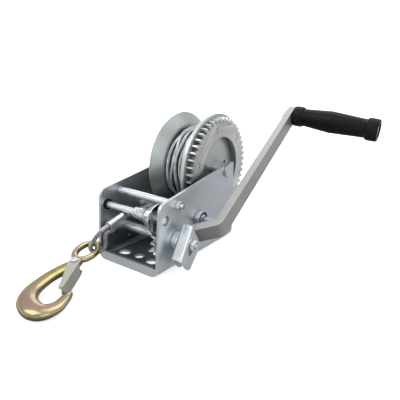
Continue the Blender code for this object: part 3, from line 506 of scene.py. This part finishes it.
# ---------------------------------------------------------------- cords: rope, eye and lead
ROPE_X = -13.0
DRUM = (124.6, 91.7)
DRUM_FRAME = Matrix.Translation((0, DRUM[0] * MM, DRUM[1] * MM))
INTERMEDIATE = (67.78, 46.68)
FERRULE_BACK = Vector((ROPE_X, 8.0, 49.4))
FERRULE_FRONT = Vector((ROPE_X, -12.0, 44.0))
FORWARD = (FERRULE_FRONT - FERRULE_BACK).normalized()
GAP = 0.3
HOOK_EYE = Vector((-26.5, -30.6, 19.2))
HOOK_AXIS = Vector((0.318, -0.935, -0.176)).normalized()
HOOK_SIDE = Vector((0.9467, 0.3221, 0)).normalized()
HOOK_UP = HOOK_AXIS.cross(HOOK_SIDE).normalized()
HOOK_SIDE = HOOK_UP.cross(HOOK_AXIS).normalized()
HOOK_FRAME = Matrix.Translation(HOOK_EYE * MM) @ Matrix((HOOK_AXIS, HOOK_SIDE, HOOK_UP)).transposed().to_4x4()
EYE_CENTER = -4.0
EYE_LONG = 14.5
EYE_WIDE = 9.8
EYE_WIRE = 3.3


def eye_point(angle):
    return (HOOK_EYE + HOOK_AXIS * (EYE_CENTER - EYE_LONG * math.cos(angle))
            + HOOK_SIDE * EYE_WIDE * math.sin(angle))


def bend(first, leaving, last, arriving, count=6):
    """A smooth curve from first to last with the given end tangents, without its last point."""
    made = []
    for i in range(count):
        t = i / count
        made.append(first * (1 - t)**3 + (first + leaving) * 3 * t * (1 - t)**2
                    + (last - arriving) * 3 * t**2 * (1 - t) + last * t**3)
    return made


def loop_points():
    """The rope's eye: out of the ferrule, once through the hook's eye and back."""
    crossing = math.radians(35)
    wire = eye_point(crossing)
    along = (eye_point(crossing + 0.05) - eye_point(crossing - 0.05)).normalized()
    reach = FERRULE_FRONT - wire
    up = (reach - along * reach.dot(along)).normalized()
    out = along.cross(up).normalized()
    if out.y > 0:
        out = -out
    radius = EYE_WIRE + ROPE_RADIUS + 1.9
    angles = [math.radians(15 - 30 * i) for i in range(8)]
    turn = [wire + (out * math.cos(a) + up * math.sin(a)) * radius for a in angles]
    heading = [out * math.sin(a) - up * math.cos(a) for a in angles]
    side = FORWARD.cross(Vector((1, 0, 0))).normalized()
    side = -side if side.z < 0 else side
    start = FERRULE_FRONT + FORWARD * GAP
    one, two = start + side * 2.7, start - side * 2.7
    out_of_ferrule, into_ferrule = one + FORWARD * 2.5, two + FORWARD * 2.5
    return ([one] + bend(out_of_ferrule, FORWARD * 9, turn[0], heading[0] * 8) + turn
            + bend(turn[-1], heading[-1] * 7, into_ferrule, -FORWARD * 4)[1:] + [into_ferrule, two])


def lead_points():
    """The lead: off the drum's underside, over the intermediate shaft and straight into the ferrule."""
    start = Vector((ROPE_X, 116.0, 45.7))
    throat = FERRULE_BACK - FORWARD * 7
    reach = 7.7
    over = [Vector((ROPE_X, INTERMEDIATE[0] + reach * math.cos(a), INTERMEDIATE[1] + reach * math.sin(a)))
            for a in (math.radians(d) for d in (80, 87, 94))]
    lead = [start.lerp(over[0], i / 4) for i in range(4)] + over
    return lead + [over[-1].lerp(throat, i / 5) for i in range(1, 6)] + [FERRULE_BACK - FORWARD * GAP]


def make_cords():
    lead = smooth_path(lead_points(), 1.6)
    piece = rope_piece("rope_lead_laid", lead, "frame", ["rope_lead"])
    eye = smooth_path(loop_points(), 1.2)
    piece = rope_piece("rope_eye_laid", eye, "frame", ["rope_eye"])


def wander(seed, angle, amount, frequency):
    """Smooth noise that closes on itself after a turn."""
    place = Vector((math.cos(angle) * frequency, math.sin(angle) * frequency, seed * 7.3))
    return noise.noise(place) * amount


def make_rope_pack():
    """Two layers of turns over a black core that stands for the shade under and between them (painted shade);
    the outer turns wander and cross, as a loaded drum's do.
    """
    first, last = -13.0, 16.8
    shape = bmesh.new()
    for layer, (radius, pitch, drift) in enumerate(((42.4, 4.9, 0.8), (46.2, 5.2, 3.2))):
        turns = (last - first) / pitch
        count = int(turns * 110)
        path = []
        for i in range(count + 1):
            share = i / count
            angle = -math.pi / 2 - TAU * turns * share * (1 if layer else -1)
            x = first + (last - first) * share + wander(layer + share * turns * 0.35, angle, drift * 2.2, 1.3)
            x = min(max(x, first), last)
            r = radius + wander(20 + layer + share * turns * 0.5, angle, 0.7, 1.7)
            path.append(Vector((x, DRUM[0] + r * math.cos(angle), DRUM[1] + r * math.sin(angle))))
        sweep(shape, path, lambda travelled: strand_section(travelled, 2.35))
    wound = from_shape("rope_pack_wound", shape, 80)
    add_piece("rope_pack_wound", wound, ROPE, "drum", ["rope_pack"])
    # painted shade: a black cylinder under the turns, seen dark in the gaps between them
    core = [(-15.0, 20.3), (-15.0, 41.5), (18.8, 41.5), (18.8, 20.3)]
    shade_core_mesh = turned_mesh("rope_pack_shade_core", core, DRUM_FRAME, 64, 40)
    add_piece("rope_pack_shade_core", shade_core_mesh, ROPE_SHADOW_BLACK, "drum")


# ---------------------------------------------------------------- drum
def make_drum_flange():
    rim_x, web_x = -26.8, -15.4
    outer = [(web_x - 1.8, 8.3), (web_x - 1.8, 46.0), (web_x - 2.6, 49.4), (rim_x - 0.9, 60.8),
             (rim_x - 1.1, 62.0), (rim_x - 0.4, 63.0), (rim_x + 0.6, 62.9), (rim_x + 1.0, 62.0),
             (web_x - 0.8, 50.4), (web_x, 46.6), (web_x, 8.3)]
    name = "drum_flange_left_fine"
    mesh = turned_mesh(name, soften(outer, 1.5), DRUM_FRAME, 160, 50)
    add_piece(name, mesh, FLANGE_STEEL, "drum", ["drum_flange_left"])


# ---------------------------------------------------------------- grip
CRANK_ANGLE = math.radians(33.3)
GRIP_START = Vector((82.3, 29.2 + 231 * math.cos(CRANK_ANGLE), 32.1 + 231 * math.sin(CRANK_ANGLE)))
GRIP_FRAME = Matrix.Translation(GRIP_START * MM) @ Matrix.Rotation(math.radians(3.4), 4, "Y")


def make_grip():
    outline = [(0, 4.3), (0, 12.2), (1.0, 13.0), (6.0, 13.2), (10.4, 13.1), (11.8, 12.6), (12.6, 11.2),
               (14.6, 11.2), (48.0, 13.9), (49.6, 14.0), (51.4, 13.8), (91.0, 11.6), (93.2, 12.0),
               (94.0, 13.5), (95.6, 14.0), (105.6, 13.9), (107.4, 13.2), (108.0, 12.4), (108.0, 9.2),
               (107.0, 8.6), (103.0, 8.2), (103.0, 4.3)]
    mesh = turned_mesh("grip_moulded", soften(outline, 0.8), GRIP_FRAME, 96, 35)
    add_piece("grip_moulded", mesh, BLACK_GRIP, "grip", ["grip"])


# ---------------------------------------------------------------- hook
# the forged body's middle line: along the hook, across it, and half its width, in mm
HOOK_LINE = [
    (13.0, 1.5, 5.4), (20.0, -0.4, 6.4), (29.0, -5.2, 6.4), (40.0, -9.8, 6.4), (52.0, -12.4, 6.6),
    (63.0, -12.6, 7.4), (73.5, -8.0, 8.2), (80.2, 1.6, 8.4), (80.6, 11.0, 7.6), (74.0, 17.6, 6.1),
    (65.0, 19.2, 5.0), (57.5, 18.6, 4.0), (54.6, 18.0, 2.6),
]
HOOK_FLATNESS = 0.64
LATCH_PIVOT = (21.0, 2.6)


def superellipse(half_a, half_b, power, sides):
    made = []
    for k in range(sides):
        c, s = math.cos(TAU * k / sides), math.sin(TAU * k / sides)
        made.append((half_a * math.copysign(abs(c) ** power, c), half_b * math.copysign(abs(s) ** power, s)))
    return made


def flat_ring(shape, place, before, after, outline):
    """One ring of a flat sweep: the outline stands across the line from before to after."""
    along = (after - before).normalized()
    side = Vector((-along.y, along.x, 0))
    return [shape.verts.new((place + side * a + Vector((0, 0, b))) * MM) for a, b in outline]


def make_hook():
    """The forged body and its eye, made apart, then fused and smoothed by a fine voxel remesh."""
    line = smooth_path(HOOK_LINE, 0.9)
    body = [Vector((p.x, p.y, 0)) for p in line]
    last = len(body) - 1
    shape = bmesh.new()
    rings = [flat_ring(shape, place, body[max(i - 1, 0)], body[min(i + 1, last)],
                       superellipse(line[i].z, line[i].z * HOOK_FLATNESS, 0.86, 32))
             for i, place in enumerate(body)]
    join_rings(shape, rings, closed=False)
    shape.faces.new(rings[0][::-1])
    shape.faces.new(rings[-1])
    steps = 72
    eye = [Vector((EYE_CENTER - EYE_LONG * math.cos(a), EYE_WIDE * math.sin(a), 0)) for a in
           (TAU * i / steps for i in range(steps))]
    wire = superellipse(EYE_WIRE, EYE_WIRE, 0.95, 24)
    rings = [flat_ring(shape, place, eye[i - 1], eye[(i + 1) % steps], wire) for i, place in enumerate(eye)]
    join_rings(shape, rings, closed=True)
    rough = bpy.data.objects.new("hook_rough", from_shape("hook_forged", shape, 80))
    bpy.context.scene.collection.objects.link(rough)
    remesh = rough.modifiers.new("remesh", "REMESH")
    remesh.mode = "VOXEL"
    remesh.voxel_size = 0.0006
    even = rough.modifiers.new("even", "SMOOTH")
    even.iterations = 6
    even.factor = 0.5
    graph = bpy.context.evaluated_depsgraph_get()
    graph.update()
    mesh = bpy.data.meshes.new_from_object(rough.evaluated_get(graph), depsgraph=graph)
    mesh.transform(HOOK_FRAME)
    mesh.shade_smooth()
    bpy.data.objects.remove(rough, do_unlink=True)
    add_piece("hook_forged", mesh, YELLOW, "hook", ["hook"])


# ---------------------------------------------------------------- finishes and making
ZINC = plated_steel("zinc_plate", (0.44, 0.50, 0.55), (0.62, 0.68, 0.73), 0.36, stretch=(1.0, 0.12, 1.0),
                    shade_depth=0.92, alone=True)
FLANGE_STEEL = plated_steel("flange_zinc", (0.46, 0.50, 0.49), (0.58, 0.62, 0.61), 0.40, grain=0.08,
                            shade_depth=0.5)
GEAR_STEEL = plated_steel("gear_zinc", (0.40, 0.41, 0.38), (0.60, 0.61, 0.57), 0.38, grain=0.12, wear=0.8,
                          shade_depth=0.8)
BRIGHT = plated_steel("bright_zinc", (0.64, 0.68, 0.73), (0.84, 0.88, 0.92), 0.26, metallic=0.92, grain=0.08,
                      stretch=(0.1, 1.0, 1.0), wear=0.4, shade_depth=0.25)
ARM_STEEL = plated_steel("arm_zinc", (0.19, 0.18, 0.155), (0.27, 0.26, 0.225), 0.46, metallic=0.85,
                         grain=0.12, stretch=(1.0, 0.12, 0.18), wear=0.35, shade_depth=0.4)
YELLOW = yellow_plating()
LATCH = latch_plating()
ROPE = rope_steel()
# painted shade: black for the shade under the rope turns
ROPE_SHADOW_BLACK = black_moulding_and_shade("rope_shadow", 0.7, 0.1)
BLACK_GRIP = black_moulding_and_shade("grip_plastic", 0.3, 0.05)
BLACK_BUSH = black_moulding_and_shade("bush_plastic", 0.4, 0.1)

# node: (material, edge radius in mm)
FINE_NODES = {
    "frame": (ZINC, 0.5),
    "tie_tube": (BRIGHT, 0.3), "tie_bolt": (BRIGHT, 0.35), "tie_nut": (BRIGHT, 0.4),
    "pawl_rod": (BRIGHT, 0.4), "pawl_rod_bush_left": (BLACK_BUSH, 0.4), "pawl_rod_bush_right": (BRIGHT, 0.3),
    "drive_bush_left": (BRIGHT, 0.4), "drive_bush_right": (BRIGHT, 0.5),
    "intermediate_bush_left": (BRIGHT, 0.4), "intermediate_bush_right": (BRIGHT, 0.5),
    "drum_axle": (ZINC, 0.4), "drum_axle_nut": (BRIGHT, 0.5),
    "drum_flange_right": (FLANGE_STEEL, 0.4), "drum_barrel": (ZINC, 0.2), "drum_hub_sleeve": (ZINC, 0.3),
    "ring_gear": (GEAR_STEEL, 0.3),
    "intermediate_shaft": (BRIGHT, 0.6), "intermediate_pinion": (GEAR_STEEL, 0.25),
    "intermediate_gear": (GEAR_STEEL, 0.3), "intermediate_circlip": (BLACK_BUSH, 0.2),
    "drive_shaft": (BRIGHT, 0.3), "drive_pinion": (GEAR_STEEL, 0.25), "ratchet_wheel": (GEAR_STEEL, 0.3),
    "crank_clip": (BRIGHT, 0.35), "crank_arm": (ARM_STEEL, 0.7), "crank_nut": (BRIGHT, 0.5),
    "grip_bolt": (BRIGHT, 0.3), "grip_nut": (BRIGHT, 0.5),
    "pawl": (BRIGHT, 0.4), "pawl_spring": (BRIGHT, 0.0),
    "ferrule": (BRIGHT, 0.6), "latch_rivet": (BRIGHT, 0.2), "hook_latch": (LATCH, 0.3),
}

add_camera()
add_floor()
add_light_and_world()
for node_name, (finish_material, edge) in FINE_NODES.items():
    rounded_copy(node_name, finish_material, edge)
for number in range(1, 7):
    rounded_copy(f"ring_rivet_{number}", BRIGHT, 0.3)
make_drum_flange()
make_rope_pack()
make_grip()
make_hook()
make_cords()
